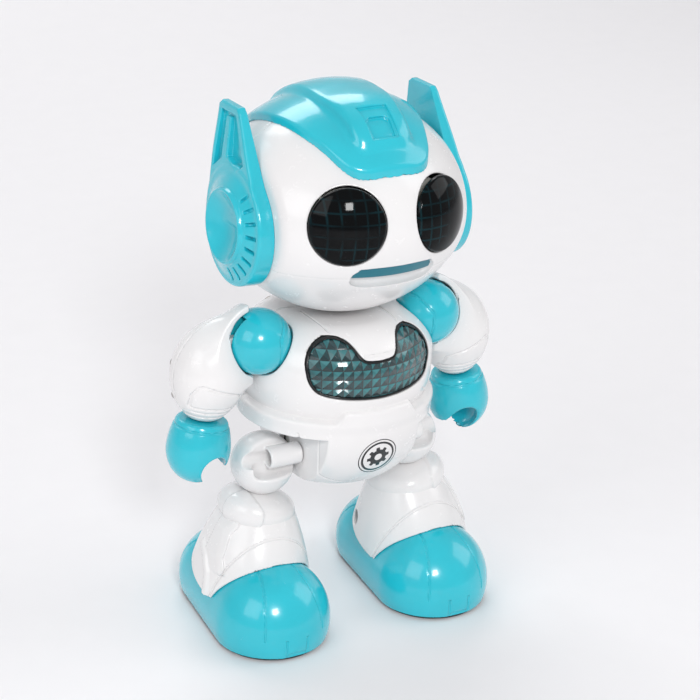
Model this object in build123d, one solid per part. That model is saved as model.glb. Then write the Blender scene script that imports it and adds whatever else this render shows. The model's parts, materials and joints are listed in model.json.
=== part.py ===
"""Battery walking toy robot, 200 mm tall, as an assembly of moulded shells, limbs and drive.

Frame: +Z up, the robot faces -Y, its right side is -X, and the soles stand on Z = 0.
All lengths are millimetres and all angles are degrees.
"""
import os
from math import atan2, cos, degrees, pi, radians, sin

from build123d import *

os.makedirs("parts", exist_ok=True)

# ---- plastic and fits -------------------------------------------------------------------
WALL = 2.0
RUNNING_FIT = 0.07
BODY_GAP = 0.5
FAR = 120.0
# moved at the end so that the frame origin lies under the middle of the bounding box
ORIGIN_SHIFT_Y = 2.0

# ---- head -------------------------------------------------------------------------------
HEAD_Y = -2.0
HEAD_Z = 161.3
HEAD_RADIUS = 47.5
HEAD_HALF_HEIGHT = 39.5
HEAD_SIDE_RADIUS = 30.0
EAR_SEAT_X = 37.5
EYE_SPREAD = 24.5
EYE_RISE = 6.5
EYE_RADIUS = 13.7
EYE_CROWN = 49.6
EYE_DOME_RADIUS = 27.0
MOUTH_HALF_WIDTH = 15.5
MOUTH_Z = 149.0
MOUTH_HEIGHT = 4.2
CREST_FLANGE = 2.4
CREST_OUTLINE = [(18.0, -36.0), (24.0, -20.0), (27.0, 4.0), (24.0, 30.0), (16.0, 41.0)]
CREST_BASE_Z = 178.0
RIDGE_HALF_WIDTH = 13.5
RIDGE_RADIUS = 44.0
RIDGE_TOP_Z = 206.0
RIDGE_FRONT_Y = -31.0
RIDGE_BACK_Y = 34.0

# ---- ears -------------------------------------------------------------------------------
EAR_Y = -3.5
EAR_Z = 158.0
EAR_TILT = 3.0
EAR_RADIUS = 22.0
EAR_RIM = 6.0
EAR_CONE = 3.5
EAR_HUB_RADIUS = 13.5
EAR_DISH_RADIUS = 11.5
EAR_DISH_DEPTH = 4.0
FIN_THICKNESS = 6.0
FIN_OUTLINE = [(-21.0, 6.0), (-17.0, 42.0), (0.0, 42.0), (15.5, 15.0)]

# ---- torso ------------------------------------------------------------------------------
NECK_RADIUS = 6.0
TORSO_Y = -2.5
SPLIT_Y = 3.0
TORSO_RADIUS = 37.0
TORSO_TOP = 120.8
TORSO_SHOULDER_RADIUS = 17.0
TORSO_WAIST_Z = 87.0
TORSO_BOTTOM = 57.0
TORSO_BOTTOM_RADIUS = 21.0
TORSO_BOWL_POINT = (32.5, 67.5)
PELVIS_HALF_WIDTH = 19.0
HIP_CUT_TOP = 82.0
WINDOW_OUTLINE = [
    (6.8, 112.7), (9.1, 118.2), (16.0, 119.0), (23.0, 115.5),
    (25.7, 109.8), (24.5, 103.0), (20.5, 99.0), (0.0, 97.0),
]

# ---- shoulders, arms and hands (right side, measured from the ball centre) ---------------
BALL_CENTRE = (-35.5, -9.5, 115.0)
BALL_RADIUS = 12.3
BALL_FLAT = 11.0
SHOULDER_AXLE_RADIUS = 2.0
SHOULDER_WASHER_RADIUS = 3.4
HOOD_RADIUS = 15.2
HOOD_EDGE_X = -4.0
ARM_CENTRE = (-16.5, 7.0, -12.0)
ARM_TILT = 8.0
ARM_RADIUS = 14.2
ARM_HALF_HEIGHT = 20.0
ARM_SIDE_RADIUS = 22.0
CUFF_DROP = 17.5
ARM_PIN_RADIUS = 1.5
ARM_PIN_HALF_LENGTH = 8.0
TONGUE_HALF_THICKNESS = 1.8
TONGUE_HALF_HEIGHT = 3.4
HAND_RADIUS = 12.0
HAND_HALF_HEIGHT = 12.5
HAND_SIDE_RADIUS = 14.0
WRIST_RADIUS = 3.0
ARM_SCREW_PLACES = [(-10.6, 2.0), (-8.4, -10.0)]
ARM_SCREW_Y = 5.8
CLAW_GAP = 3.0
CLAW_PALM_RADIUS = 5.2
SHOULDER_INNER_X = -18.4

# ---- hips, legs and feet (right side) -----------------------------------------------------
HIP_Y = -12.0
HIP_Z = 68.5
HIP_PIN_RADIUS = 2.2
BOSS_RADIUS = 3.6
BOSS_OUTER_X = -31.0
THIGH_CENTRE = (-31.0, -5.0, 63.5)
THIGH_RADIUS = 12.0
SHIN_CENTRE = (-32.5, -3.5, 45.0)
SHIN_RADIUS = 15.0
SHIN_LEAN = 14.0
FOOT_X = -35.0
TOE_Y = -22.0
TOE_RADIUS = 22.5
HEEL_Y = 16.0
HEEL_RADIUS = 19.0
FOOT_AXIS_Z = 8.0
SOLE_INSET = 2.0
SOLE_THICKNESS = 3.0
BOOT_TOP_Z = 46.0
BOOT_TOP_RADIUS = 13.5
BOOT_MIDDLE = (21.5, 24.0)
BOOT_MIDDLE_Y = -4.0
BOOT_MIDDLE_Z = 24.0
BOOT_FOOT = (23.5, 27.0)
BOOT_FOOT_Y = -2.0
BOOT_FOOT_Z = 4.0
BOOT_FRONT_ARCH = 34.5
BOOT_FRONT_ARCH_Y = -44.0
BOOT_REAR_ARCH = 22.0
BOOT_REAR_ARCH_Y = 42.0
BOOT_TIP = (-16.0, 14.5)
BOOT_EDGE_RISE = 19.0
BOOT_SCREW = (4.0, 26.0)
ROLLER_RADIUS = 4.0
ROLLER_Y = 12.0
SOLE_SCREW_PLACES = (-26.0, 24.0)
ROLLER_AXLE_RADIUS = 1.0
ROLLER_Z = 4.15
ROLLER_PLACES = (-41.0, -29.0)

# ---- drive and battery ----------------------------------------------------------------------
CELL_RADIUS = 5.25
CELL_LENGTH = 44.5
CELL_PLACES = [(15.0, 90.4), (15.0, 101.1), (5.6, 95.75)]
BATTERY_FLOOR_Z = 84.2
BATTERY_TOP_Z = 107.4
BATTERY_HALF_WIDTH = 24.4
MOTOR_Y = 10.5
MOTOR_Z = 67.5
MOTOR_RADIUS = 7.8
MOTOR_HALF_HEIGHT = 6.0
PINION_TEETH = 10
CRANK_TEETH = 20
TOOTH_PITCH_RADIUS = 0.35
TOOTH_DEPTH = 0.8
CRANK_Y = MOTOR_Y - (PINION_TEETH + CRANK_TEETH) * TOOTH_PITCH_RADIUS
CRANK_Z = MOTOR_Z
CRANK_OFFSET = 2.5
CRANK_PIN_RADIUS = 1.2
CRANK_SHAFT_RADIUS = 1.6

SCREW_HEAD_RADIUS = 2.5
SCREW_HEAD_HEIGHT = 1.6
SCREW_SHANK_RADIUS = 1.1
SCREW_SLOT_DEPTH = 0.65
SCREW_BOSS_RADIUS = 3.6
HEAD_SCREW_PLACES = [(-33.0, 146.0), (33.0, 146.0), (-33.0, 176.0), (33.0, 176.0)]
HEAD_SCREW_Y = 21.0
TORSO_SCREW_PLACES = [
    (-16.0, 116.4, 20.5), (16.0, 116.4, 20.5), (-32.6, 88.5, 11.5), (32.6, 88.5, 11.5),
]


# ---- shape helpers --------------------------------------------------------------------------
def oval(half_width, half_height, side_radius):
    """Solid of revolution about Z: a side arc that runs smoothly into an arc at each end."""
    offset = half_width - side_radius
    rise = half_height - side_radius
    drop = (offset**2 - rise**2) / (2 * rise)
    end_radius = half_height + drop
    end_angle = degrees(atan2(abs(offset), abs(drop)))
    top = CenterArc((0, -drop), end_radius, 90 - end_angle, end_angle)
    side = CenterArc((offset, 0), side_radius, end_angle - 90, 180 - 2 * end_angle)
    bottom = CenterArc((0, drop), end_radius, -90, end_angle)
    axis = Line((0, half_height), (0, -half_height))
    return revolve(Plane.XZ * make_face([top, side, bottom, axis]), Axis.Z, 360)


def block(x_range, y_range, z_range):
    """Box between two limits on each axis."""
    limits = (x_range, y_range, z_range)
    sizes = [high - low for low, high in limits]
    middle = [(high + low) / 2 for low, high in limits]
    return Pos(*middle) * Box(*sizes)


def rod(axis, radius, start, length, across):
    """Cylinder along X, Y or Z from start, centred on the two other coordinates."""
    if axis == "X":
        plane = Plane((start, across[0], across[1]), x_dir=(0, 1, 0), z_dir=(1, 0, 0))
    elif axis == "Y":
        plane = Plane((across[0], start, across[1]), x_dir=(1, 0, 0), z_dir=(0, 1, 0))
    else:
        plane = Plane((across[0], across[1], start), x_dir=(1, 0, 0), z_dir=(0, 0, 1))
    return extrude(plane * Circle(radius), length)


def along(direction, point, radius, start, end):
    """Cylinder about a line through a point, from one distance along it to another."""
    plane = Plane(point, z_dir=direction)
    return extrude(plane.offset(start) * Circle(radius), end - start)


def screw(direction, point, length):
    """Pan-head screw whose head starts at the point and whose shank follows the direction."""
    head = along(direction, point, SCREW_HEAD_RADIUS, 0, SCREW_HEAD_HEIGHT)
    shank = along(direction, point, SCREW_SHANK_RADIUS, SCREW_HEAD_HEIGHT, length)
    slot = Plane(point, z_dir=direction) * Box(3.6, 0.6, 2 * SCREW_SLOT_DEPTH)
    return head + shank - slot


def sum_of(pieces):
    """Union of a list of solids."""
    total = pieces[0]
    for piece in pieces[1:]:
        total += piece
    return total


def left_of(shape):
    """Mirror image of a right-hand piece."""
    return mirror(shape, about=Plane.YZ)


def half_space(axis, value, above):
    """Large block on one side of a plane across X, Y or Z."""
    span = (value, FAR * 2) if above else (-FAR * 2, value)
    ranges = [(-FAR * 2, FAR * 2)] * 3
    ranges["XYZ".index(axis)] = span
    return block(*ranges)


# ---- head -------------------------------------------------------------------------------------
def head_crown(proud):
    """Head form without its ear seats, grown outward."""
    return Pos(0, HEAD_Y, HEAD_Z) * oval(
        HEAD_RADIUS + proud, HEAD_HALF_HEIGHT + proud, HEAD_SIDE_RADIUS + proud
    )


def head_solid(inset=0.0):
    """Outer form of the head, drawn in by an inset, with a flat seat for each ear."""
    seat = EAR_SEAT_X - inset
    return head_crown(-inset) & block((-seat, seat), (-FAR, FAR), (0, 2 * FAR))


def eye_axis(side):
    """Outward direction of an eye; side is -1 for the right eye."""
    spread = radians(EYE_SPREAD)
    rise = radians(EYE_RISE)
    return Vector(side * sin(spread) * cos(rise), -cos(spread) * cos(rise), sin(rise))


def eye_bore(side, radius, start, end):
    """Cylinder on an eye's axis, measured outward from the head's middle."""
    return along(eye_axis(side), (0, HEAD_Y, HEAD_Z), radius, start, end)


def eye_lens(side):
    """Domed smoked lens that stands a little proud of the face."""
    centre = Vector(0, HEAD_Y, HEAD_Z) + eye_axis(side) * (EYE_CROWN - EYE_DOME_RADIUS)
    dome = Pos(*centre) * (Sphere(EYE_DOME_RADIUS) - Sphere(EYE_DOME_RADIUS - 1.8))
    return dome & eye_bore(side, EYE_RADIUS, 30, 60)


def eye_reflectors():
    """Ribbed light plates that show through the lenses."""
    plates = []
    for side in (-1, 1):
        pieces = [eye_bore(side, EYE_RADIUS - 1.5, 36.0, 37.4)]
        for step in (-2, -1, 0, 1, 2):
            rib = Plane((0, HEAD_Y, HEAD_Z), z_dir=eye_axis(side)).offset(37.9)
            pieces.append(rib * Pos(step * 4.5, 0) * Box(0.8, 19.0, 1.2))
        plates.append(sum_of(pieces))
    return Compound(plates)


def mouth_opening():
    """Slot through the face for the mouth."""
    low = MOUTH_Z - MOUTH_HEIGHT / 2
    high = MOUTH_Z + MOUTH_HEIGHT / 2
    return block((-MOUTH_HALF_WIDTH, MOUTH_HALF_WIDTH), (-FAR, -30), (low, high))


def head_shells():
    """Front and rear halves of the hollow head, with long bosses for the screws."""
    shell = head_solid() - head_solid(WALL)
    for side in (-1, 1):
        shell -= eye_bore(side, EYE_RADIUS, 20, 60)
    shell -= mouth_opening()
    shell -= rod("Z", NECK_RADIUS + RUNNING_FIT, 110, 20, (0, 0))
    front = shell & half_space("Y", 0, False)
    rear = shell & half_space("Y", 0, True)
    for x, z in HEAD_SCREW_PLACES:
        front += rod("Y", SCREW_BOSS_RADIUS, -14, 14, (x, z)) & head_solid(0.4)
        rear += rod("Y", SCREW_BOSS_RADIUS, 0, 60, (x, z)) & head_solid(0.4)
        rear -= rod("Y", SCREW_HEAD_RADIUS + 0.3, HEAD_SCREW_Y - SCREW_SLOT_DEPTH, 40, (x, z))
    return front - head_screws(), rear - head_screws()


def mouth_insert():
    """Dark bar that closes the mouth slot from inside."""
    bar = head_solid(1.2) - head_solid(4.0)
    return bar & mouth_opening()


def crest_cap():
    """Helmet crest: a flange that follows the head and a raised ridge from front to back."""
    flange = head_crown(CREST_FLANGE) - head_crown(0)
    mirrored = [(-x, y) for x, y in reversed(CREST_OUTLINE)]
    outline = make_face(Polyline(*CREST_OUTLINE, *mirrored, close=True))
    flange &= Pos(0, 0, CREST_BASE_Z) * extrude(outline, 60)
    ridge = rod("X", RIDGE_RADIUS, -RIDGE_HALF_WIDTH, 2 * RIDGE_HALF_WIDTH,
                (1.0, RIDGE_TOP_Z - RIDGE_RADIUS))
    ridge &= block((-FAR, FAR), (RIDGE_FRONT_Y, RIDGE_BACK_Y), (CREST_BASE_Z, FAR * 2))
    recess = Pos(0, RIDGE_FRONT_Y + 5, RIDGE_TOP_Z - 9) * Rot(30, 0, 0) * Box(11, 13, 4)
    return flange + (ridge - head_crown(0)) - recess


def ear():
    """Right ear: a thick disc with a stepped hub and dish, and a tall fin with two channels."""
    tilt = radians(EAR_TILT)
    plane = Plane(
        (-EAR_SEAT_X, EAR_Y, EAR_Z), x_dir=(0, -1, 0), z_dir=(-cos(tilt), 0, sin(tilt))
    )
    disc = Pos(0, 0, -3) * Cylinder(EAR_RADIUS, EAR_RIM + 3, align=(Align.CENTER, Align.CENTER, Align.MIN))
    cone = Pos(0, 0, EAR_RIM) * Cone(
        EAR_RADIUS - 2, EAR_HUB_RADIUS, EAR_CONE, align=(Align.CENTER, Align.CENTER, Align.MIN)
    )
    dish = Pos(0, 0, EAR_RIM + EAR_CONE - EAR_DISH_DEPTH) * Cylinder(
        EAR_DISH_RADIUS, FAR, align=(Align.CENTER, Align.CENTER, Align.MIN)
    )
    fin = extrude(Plane.XY * make_face(Polyline(*FIN_OUTLINE, close=True)), FIN_THICKNESS)
    body = disc + cone + fin - dish
    for low, high in ((-16.5, -13.0), (-9.5, -6.0)):
        body -= block((low, high), (23, 39), (FIN_THICKNESS - 1.5, FAR))
    slot = block((EAR_HUB_RADIUS + 1.5, EAR_RADIUS - 2.5), (-0.4, 0.4), (EAR_RIM, FAR))
    for step in range(9):
        body -= Rot(0, 0, 50 - 16 * step) * slot
    return (plane * body) & half_space("X", -EAR_SEAT_X, False)


def head_screws():
    """Four long screws that draw the rear head shell onto the front one."""
    return Compound([screw((0, -1, 0), (x, HEAD_SCREW_Y, z), 32) for x, z in HEAD_SCREW_PLACES])


def eye_led_board():
    """Small board with one light for each eye."""
    board = block((-26, 26), (-24.0, -22.4), (HEAD_Z + 1, HEAD_Z + 11))
    for x in (-14, 14):
        board += rod("Y", 2.5, -29.0, 5.5, (x, HEAD_Z + 6))
    return board


def neck_post():
    """Hollow pivot that carries the head, with a flange that keeps the head on."""
    flange_z = HEAD_Z - HEAD_HALF_HEIGHT + WALL + 1.4
    foot_z = TORSO_TOP - WALL
    post = rod("Z", NECK_RADIUS, foot_z, flange_z - foot_z, (0, 0))
    post += rod("Z", NECK_RADIUS + 2.5, flange_z, 2.0, (0, 0))
    return post - rod("Z", NECK_RADIUS - 2.5, 100, 40, (0, 0))


# ---- torso ------------------------------------------------------------------------------------
def torso_form(inset):
    """Rounded drum that runs into a bowl below the waist."""
    radius = TORSO_RADIUS - inset
    corner = TORSO_SHOULDER_RADIUS - inset
    flat = radius - corner
    top = TORSO_TOP - inset
    low = TORSO_BOTTOM + inset
    bottom_radius = TORSO_BOTTOM_RADIUS - inset / 2
    top_line = Line((0, top), (flat, top))
    shoulder = CenterArc((flat, top - corner), corner, 0, 90)
    side = Line((radius, top - corner), (radius, TORSO_WAIST_Z))
    bowl_x, bowl_z = TORSO_BOWL_POINT
    bowl_point = (bowl_x - inset * 0.8, bowl_z + inset * 0.6)
    bowl = ThreePointArc((radius, TORSO_WAIST_Z), bowl_point, (bottom_radius, low))
    bottom = Line((bottom_radius, low), (0, low))
    axis = Line((0, low), (0, top))
    face = make_face([top_line, shoulder, side, bowl, bottom, axis])
    return Pos(0, TORSO_Y, 0) * revolve(Plane.XZ * face, Axis.Z, 360)


def torso_solid(inset=0.0):
    """Torso form with its shoulder sockets and hip cut-outs, drawn in by an inset."""
    form = torso_form(inset)
    for side in (-1, 1):
        x, y, z = BALL_CENTRE
        form -= Pos(-side * x, y, z) * Sphere(BALL_RADIUS + BODY_GAP + inset)
        wall = PELVIS_HALF_WIDTH - inset
        top = HIP_CUT_TOP + inset
        if side < 0:
            form -= block((-FAR, -wall), (-FAR, FAR), (0, top))
        else:
            form -= block((wall, FAR), (-FAR, FAR), (0, top))
    return form


def chest_window():
    """Prism of the bow-tie window, along Y through the front of the torso."""
    right = [(-x, z) for x, z in WINDOW_OUTLINE]
    outline = WINDOW_OUTLINE + right[::-1][1:]
    face = make_face(Polyline(*outline, close=True))
    return Pos(0, -20, 0) * extrude(Plane.XZ * face, FAR)


def torso_shells():
    """Front and rear halves of the hollow torso."""
    shell = torso_solid() - torso_solid(WALL)
    shell -= rod("Z", NECK_RADIUS, 100, 30, (0, 0))
    x, y, z = BALL_CENTRE
    shell -= rod("X", SHOULDER_AXLE_RADIUS + RUNNING_FIT, -32, 64, (y, z))
    shell -= rod("X", HIP_PIN_RADIUS, -30, 60, (HIP_Y, HIP_Z))
    shell -= rod("X", CRANK_PIN_RADIUS + CRANK_OFFSET + 0.5, -30, 60, (CRANK_Y, CRANK_Z))
    front = (shell & half_space("Y", SPLIT_Y, False)) - chest_window()
    rear = (shell & half_space("Y", SPLIT_Y, True)) - battery_opening()
    for x, z, head_y in TORSO_SCREW_PLACES:
        boss = rod("Y", SCREW_BOSS_RADIUS, SPLIT_Y, 60, (x, z)) & torso_solid(0.4)
        rear += boss
        rear -= rod("Y", SCREW_HEAD_RADIUS + 0.3, head_y - SCREW_SLOT_DEPTH, 40, (x, z))
        front += rod("Y", SCREW_BOSS_RADIUS - 1, SPLIT_Y - 7, 7, (x, z)) & torso_solid(0.4)
    rear -= block((-4.2, 4.2), (20, FAR), (65.4, 70.1))
    return front - torso_screws(), rear - torso_screws()


def chest_lens():
    """Smoked diamond-cut window of the chest."""
    skin = torso_form(0.8) - torso_form(WALL + 0.8)
    return skin & chest_window()


def chest_reflector():
    """Faceted plate behind the window."""
    skin = torso_form(WALL + 1.4) - torso_form(WALL + 2.6)
    return skin & chest_window()


def battery_opening():
    """Rectangular opening in the back for the battery door."""
    half = BATTERY_HALF_WIDTH - 0.6
    return block((-half, half), (5, FAR), (BATTERY_FLOOR_Z + 0.6, BATTERY_TOP_Z - 0.6))


def battery_door():
    """Door that continues the back of the torso."""
    skin = torso_solid() - torso_solid(WALL)
    half = BATTERY_HALF_WIDTH - 0.8
    return skin & block((-half, half), (5, FAR), (BATTERY_FLOOR_Z + 0.8, BATTERY_TOP_Z - 0.8))


def battery_box():
    """Open tray that holds three cells."""
    half = BATTERY_HALF_WIDTH
    outer = block((-half, half), (-1.2, 21.5), (BATTERY_FLOOR_Z, BATTERY_TOP_Z))
    outer &= torso_solid(WALL + 0.2)
    low, high = BATTERY_FLOOR_Z + 0.8, BATTERY_TOP_Z - 0.8
    return outer - block((0.8 - half, half - 0.8), (0, 40.0), (low, high))


def battery_cells():
    """Three cells laid across the body."""
    cells = []
    for y, z in CELL_PLACES:
        can = rod("X", CELL_RADIUS, -CELL_LENGTH / 2, CELL_LENGTH - 1.0, (y, z))
        cells.append(can + rod("X", 1.9, CELL_LENGTH / 2 - 1.0, 1.0, (y, z)))
    return Compound(cells)


def battery_contacts():
    """Sprung end plates of the battery box."""
    plates = []
    for y, z in CELL_PLACES:
        for x in (-CELL_LENGTH / 2 - 0.6, CELL_LENGTH / 2):
            plates.append(rod("X", 4.0, x, 0.6, (y, z)))
    return Compound(plates)


def circuit_board():
    """Main board behind the chest, with a sound chip, two capacitors and two lights."""
    board = block((-18, 18), (-20.0, -18.4), (84, 108))
    board += block((-6, 6), (-18.4, -16.6), (90, 100))
    for x in (-12, 12):
        board += rod("Y", 2.5, -18.4, 7.0, (x, 90))
    return board


def chest_leds():
    """Two lights in front of the main board."""
    return Compound([rod("Y", 2.5, -25.6, 5.6, (x, 104)) for x in (-12, 12)])


def speaker():
    """Round speaker in the lower front of the body."""
    frame = rod("Y", 11.0, -26.5, 5.0, (0, 73)) - rod("Y", 9.5, -27.5, 2.5, (0, 73))
    return frame + rod("Y", 6.0, -21.5, 3.5, (0, 73))


def power_switch_body():
    """Slide switch case fixed inside the back."""
    case = block((-6, 6), (19.8, 24.2), (64.5, 71.0))
    return case - block((-4.2, 4.2), (23.0, 26.0), (66.0, 69.5))


def torso_screws():
    """Four screws that close the torso from the back."""
    return Compound([screw((0, -1, 0), (x, y, z), y) for x, z, y in TORSO_SCREW_PLACES])


# ---- shoulders, arms and hands ----------------------------------------------------------------
def at_shoulder(shape):
    """Put a piece drawn about the ball centre at the right shoulder."""
    return Pos(*BALL_CENTRE) * shape


def in_arm(shape):
    """Put a piece drawn about the middle of the arm on the tilted forearm axis."""
    return at_shoulder(Pos(*ARM_CENTRE) * Rot(0, ARM_TILT, 0) * shape)


def shoulder():
    """Right shoulder ball on a short axle, slotted for the tongue of the arm."""
    ball = Sphere(BALL_RADIUS) - half_space("X", BALL_FLAT, True)
    ball -= rod("Y", ARM_PIN_RADIUS, -ARM_PIN_HALF_LENGTH, 2 * ARM_PIN_HALF_LENGTH, (0, 0))
    slot_half = TONGUE_HALF_THICKNESS + BODY_GAP
    low = -TONGUE_HALF_HEIGHT - BODY_GAP
    ball -= block((-FAR, -low), (-slot_half, slot_half), (low, 3 * TONGUE_HALF_HEIGHT))
    x, y, z = BALL_CENTRE
    axle = rod("X", SHOULDER_AXLE_RADIUS, x + BALL_FLAT, SHOULDER_INNER_X - x - BALL_FLAT, (y, z))
    return at_shoulder(ball) + axle


def shoulder_clip():
    """Washer and screw that hold the shoulder axle inside the body."""
    x, y, z = BALL_CENTRE
    washer = rod("X", SHOULDER_WASHER_RADIUS, SHOULDER_INNER_X, 1.2, (y, z))
    return washer + rod("X", SCREW_HEAD_RADIUS, SHOULDER_INNER_X + 1.2, SCREW_HEAD_HEIGHT, (y, z))


def arm_solid(inset=0.0):
    """Egg-shaped arm cut flat at the cuff, joined to a hood behind the ball."""
    egg = oval(ARM_RADIUS - inset, ARM_HALF_HEIGHT - inset, ARM_SIDE_RADIUS - inset)
    form = in_arm(egg & half_space("Z", -CUFF_DROP + inset, True))
    if inset == 0:
        hood = Sphere(HOOD_RADIUS) & half_space("Y", -1.0, True) & half_space("X", HOOD_EDGE_X, False)
        form += at_shoulder(hood)
    return form - at_shoulder(Sphere(BALL_RADIUS + BODY_GAP + inset))


def arm_shells():
    """Front and rear halves of the right arm; the front one has a tongue on the pin in the ball."""
    shell = arm_solid() - arm_solid(WALL)
    shell -= in_arm(rod("Z", WRIST_RADIUS + RUNNING_FIT, -CUFF_DROP - 5, 12, (0, 0)))
    split_y = BALL_CENTRE[1] + ARM_CENTRE[1]
    front = shell & half_space("Y", split_y, False)
    rear = shell & half_space("Y", split_y, True)
    thickness = 2 * TONGUE_HALF_THICKNESS
    tongue = rod("Y", TONGUE_HALF_HEIGHT, -TONGUE_HALF_THICKNESS, thickness, (0, 0))
    tongue += Pos(-BALL_RADIUS / 2 - 1, 0, 0) * Box(BALL_RADIUS + 2, thickness, 2 * TONGUE_HALF_HEIGHT)
    tongue -= rod("Y", ARM_PIN_RADIUS + RUNNING_FIT, -FAR, 2 * FAR, (0, 0))
    front += at_shoulder(tongue)
    for x, z in ARM_SCREW_PLACES:
        rear += in_arm(rod("Y", SCREW_BOSS_RADIUS, 0, 9, (x, z))) & arm_solid()
        front += in_arm(rod("Y", SCREW_BOSS_RADIUS, -6, 6, (x, z))) & arm_solid()
        rear -= in_arm(rod("Y", SCREW_HEAD_RADIUS + 0.3, ARM_SCREW_Y - SCREW_SLOT_DEPTH, 20, (x, z)))
    return front - arm_screws(), rear - arm_screws()


def arm_pin():
    """Steel pin pressed into the ball across its slot, on which the arm rises."""
    return at_shoulder(rod("Y", ARM_PIN_RADIUS, -ARM_PIN_HALF_LENGTH, 2 * ARM_PIN_HALF_LENGTH, (0, 0)))


def arm_screws():
    """Two screws from the back of the arm."""
    return Compound([in_arm(screw((0, -1, 0), (x, ARM_SCREW_Y, z), 10)) for x, z in ARM_SCREW_PLACES])


def hand():
    """Right hand: a hollow cup bitten through from front to back, leaving thumb and fingers."""
    top = -CUFF_DROP - BODY_GAP
    centre_z = top - HAND_HALF_HEIGHT + 0.6
    form = Pos(0, 0, centre_z) * oval(HAND_RADIUS, HAND_HALF_HEIGHT, HAND_SIDE_RADIUS)
    form &= half_space("Z", top - 1.2, False)
    form += rod("Z", HAND_RADIUS - 2.4, top - 2.4, 2.4, (0, 0))
    palm = Pos(3.0, 0, centre_z - 5.0)
    form -= palm * Rot(90, 0, 0) * Cylinder(CLAW_PALM_RADIUS, FAR)
    form -= palm * Rot(0, 45, 0) * Pos(10, 0, 0) * Box(20, FAR, 2 * CLAW_GAP)
    form += rod("Z", WRIST_RADIUS, top - 1.0, 5.0, (0, 0))
    form += rod("Z", WRIST_RADIUS + 2.0, -CUFF_DROP + WALL + BODY_GAP, 1.5, (0, 0))
    return in_arm(form)


# ---- legs and feet ------------------------------------------------------------------------------
def thigh():
    """Right thigh: a ball with a bored boss on the hip axis and a pocket for the crank pin."""
    x, y, z = THIGH_CENTRE
    inner = -PELVIS_HALF_WIDTH - BODY_GAP
    body = Pos(x, y, z) * Sphere(THIGH_RADIUS) & half_space("X", inner, False)
    body += rod("X", BOSS_RADIUS, BOSS_OUTER_X, inner - BOSS_OUTER_X, (HIP_Y, HIP_Z))
    body += block((x + 1, inner), (HIP_Y, y), (HIP_Z - BOSS_RADIUS, HIP_Z))
    body -= rod("X", HIP_PIN_RADIUS + RUNNING_FIT, BOSS_OUTER_X, 30, (HIP_Y, HIP_Z))
    body -= rod("X", SCREW_HEAD_RADIUS + 0.4, BOSS_OUTER_X - 20, 23.0, (HIP_Y, HIP_Z))
    reach = CRANK_OFFSET + CRANK_PIN_RADIUS + 2.6
    low, high = CRANK_Z - reach, CRANK_Z + reach
    body -= block((inner - 4.5, 0), (CRANK_Y - reach, CRANK_Y + reach), (low, high))
    return body - shin_solid() - boot_solid()


def shin_solid():
    """Leaning collar below the thigh."""
    return Pos(*SHIN_CENTRE) * Rot(0, SHIN_LEAN, 0) * oval(SHIN_RADIUS, 8.0, 6.0)


def shin():
    """Right shin collar with its thigh socket."""
    return shin_solid() - boot_solid()


def boot_solid(inset=0.0):
    """Bell-shaped boot that flares down to the shoe."""
    x, y, _ = SHIN_CENTRE
    top = Plane((x, y, BOOT_TOP_Z - inset)) * Circle(BOOT_TOP_RADIUS - inset)
    width, depth = BOOT_MIDDLE
    middle = Plane((FOOT_X, BOOT_MIDDLE_Y, BOOT_MIDDLE_Z)) * Ellipse(width - inset, depth - inset)
    width, depth = BOOT_FOOT
    foot = Plane((FOOT_X, BOOT_FOOT_Y, BOOT_FOOT_Z)) * Ellipse(width - inset, depth - inset)
    return loft([foot, middle, top])


def foot_solid(inset=0.0):
    """Egg-shaped foot: a toe ball and a heel ball joined by a tapering barrel."""
    length = HEEL_Y - TOE_Y
    sine = (TOE_RADIUS - HEEL_RADIUS) / length
    cosine = (1 - sine**2) ** 0.5
    toe = TOE_RADIUS - inset
    heel = HEEL_RADIUS - inset
    low_end = (Align.CENTER, Align.CENTER, Align.MIN)
    start = Plane((FOOT_X, TOE_Y + toe * sine, FOOT_AXIS_Z), z_dir=(0, 1, 0))
    form = start * Cone(toe * cosine, heel * cosine, length - (toe - heel) * sine, align=low_end)
    form += Pos(FOOT_X, TOE_Y, FOOT_AXIS_Z) * Sphere(toe)
    form += Pos(FOOT_X, HEEL_Y, FOOT_AXIS_Z) * Sphere(heel)
    return form & half_space("Z", SOLE_THICKNESS, True)


def boot():
    """Right boot cover: hollow bell, arched in front, whose hem rises towards the heel."""
    shell = boot_solid() - boot_solid(WALL) - foot_solid(-0.2)
    shell -= rod("X", BOOT_FRONT_ARCH, FOOT_X - 40, 80, (BOOT_FRONT_ARCH_Y, 0.0))
    shell -= rod("X", BOOT_REAR_ARCH, FOOT_X - 40, 80, (BOOT_REAR_ARCH_Y, 0.0))
    below = block((-40, 40), (0, 90), (-40, 0))
    shell -= Pos(FOOT_X, *BOOT_TIP) * Rot(BOOT_EDGE_RISE, 0, 0) * below
    return shell - rod("X", SCREW_HEAD_RADIUS + 0.4, FOOT_X + 10, 40, BOOT_SCREW)


def shoe():
    """Right shoe shell with screw posts on its sole line."""
    shell = foot_solid() - foot_solid(WALL)
    for y in SOLE_SCREW_PLACES:
        shell += rod("Z", SCREW_BOSS_RADIUS, SOLE_THICKNESS, 40.0, (FOOT_X, y)) & foot_solid(0.5)
    return shell - leg_screws()


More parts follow.
